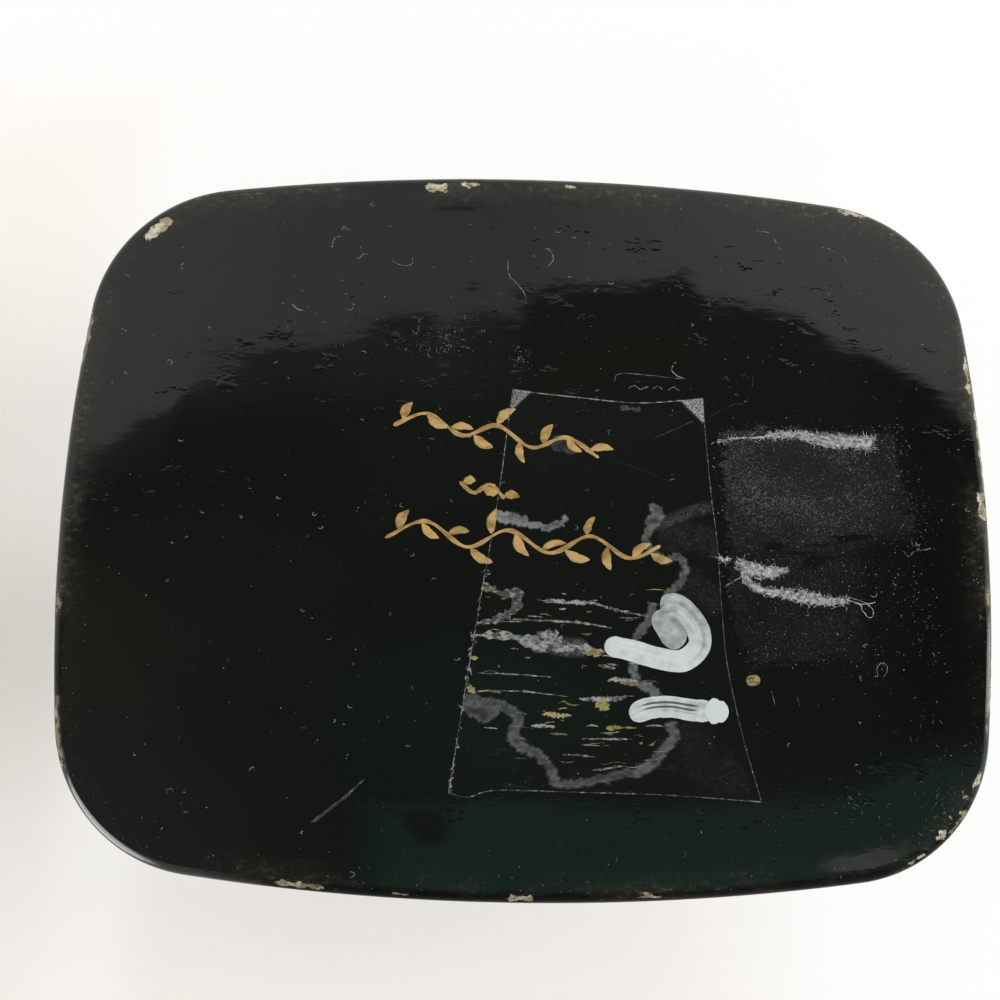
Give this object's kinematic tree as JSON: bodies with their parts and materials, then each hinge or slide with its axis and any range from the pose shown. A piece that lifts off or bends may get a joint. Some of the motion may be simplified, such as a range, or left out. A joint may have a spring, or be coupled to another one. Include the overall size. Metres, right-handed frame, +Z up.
{
  "type": "kashmiri papier mache box",
  "caption": "Lacquered papier mache box with bowed sides, round corners, a domed lift-off lid on an inner collar, and a plain flat underside.",
  "frame": {"origin": "centre of the underside's foot ring, at the table", "axes": "+X along the long side, +Z up through the lid"},
  "size_m": [0.127, 0.1, 0.062],
  "materials": {
    "black_lacquer": "gloss lacquer over papier mache",
    "collar_board": "satin lacquered pasteboard",
    "lining_paper": "matt painted paper",
    "clear_tape": "aged clear film",
    "label_paper": "torn fibres"
  },
  "bodies": {
    "base": {"floor_board": "black_lacquer", "base_wall": "black_lacquer", "inner_collar": "collar_board", "floor_lining": "lining_paper", "clear_tape": "clear_tape", "label_scraps": "label_paper"},
    "lid": {"lid_wall": "black_lacquer", "lid_top": "black_lacquer", "lid_lining": "lining_paper"}
  },
  "joints": [
    {"name": "lid_lift", "type": "slide", "parent": "base", "child": "lid", "axis": [0, 0, 1], "range_m": [0, 0.08]}
  ]
}
